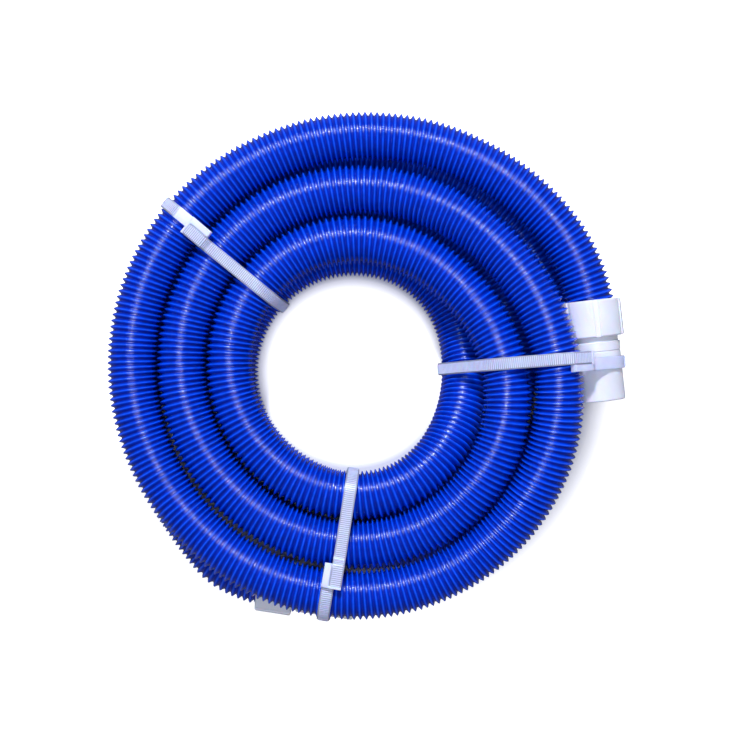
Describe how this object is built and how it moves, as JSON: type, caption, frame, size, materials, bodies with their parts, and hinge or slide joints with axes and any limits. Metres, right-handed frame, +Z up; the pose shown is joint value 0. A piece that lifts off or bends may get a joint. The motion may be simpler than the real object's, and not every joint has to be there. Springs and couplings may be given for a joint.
{
  "type": "vacuum hose",
  "caption": "Corrugated pool vacuum hose wound in a two-layer flat coil held by cable ties, with a free-turning push-on cuff on each end.",
  "frame": {"origin": "centre of the bundle's bounding box, on the surface that it lies on", "axes": "+Z up, out of the flat coil; +X towards the upper swivel cuff; +Y away from the lower cuff"},
  "size_m": [0.3994, 0.3965, 0.1051],
  "materials": {
    "hose_blue": "extruded and spiral welded, glossy",
    "cuff_white": "injection moulded, satin",
    "washer_black": "die cut sheet",
    "ring_natural": "moulded, natural",
    "tie_nylon": "moulded nylon, translucent natural"
  },
  "bodies": {
    "root": {"hose_lower_end": "hose_blue", "hose_coil": "hose_blue", "hose_upper_end": "hose_blue", "upper_collar": "cuff_white", "upper_washer": "washer_black", "upper_retaining_ring": "ring_natural", "lower_collar": "cuff_white", "lower_washer": "washer_black", "lower_retaining_ring": "ring_natural", "upper_left_tie": "tie_nylon", "right_tie": "tie_nylon", "bottom_tie": "tie_nylon"},
    "upper_sleeve": {"upper_sleeve": "cuff_white"},
    "lower_sleeve": {"lower_sleeve": "cuff_white"}
  },
  "joints": [
    {"name": "upper_sleeve_spin", "type": "hinge", "parent": "root", "child": "upper_sleeve", "pos_m": [0.17619, 0.0235, 0.058], "axis": [0.1129, -0.9934, -0.02], "continuous": true},
    {"name": "lower_sleeve_spin", "type": "hinge", "parent": "root", "child": "lower_sleeve", "pos_m": [-0.05506, -0.17265, 0.0228], "axis": [0.9879, -0.155, 0], "continuous": true}
  ]
}
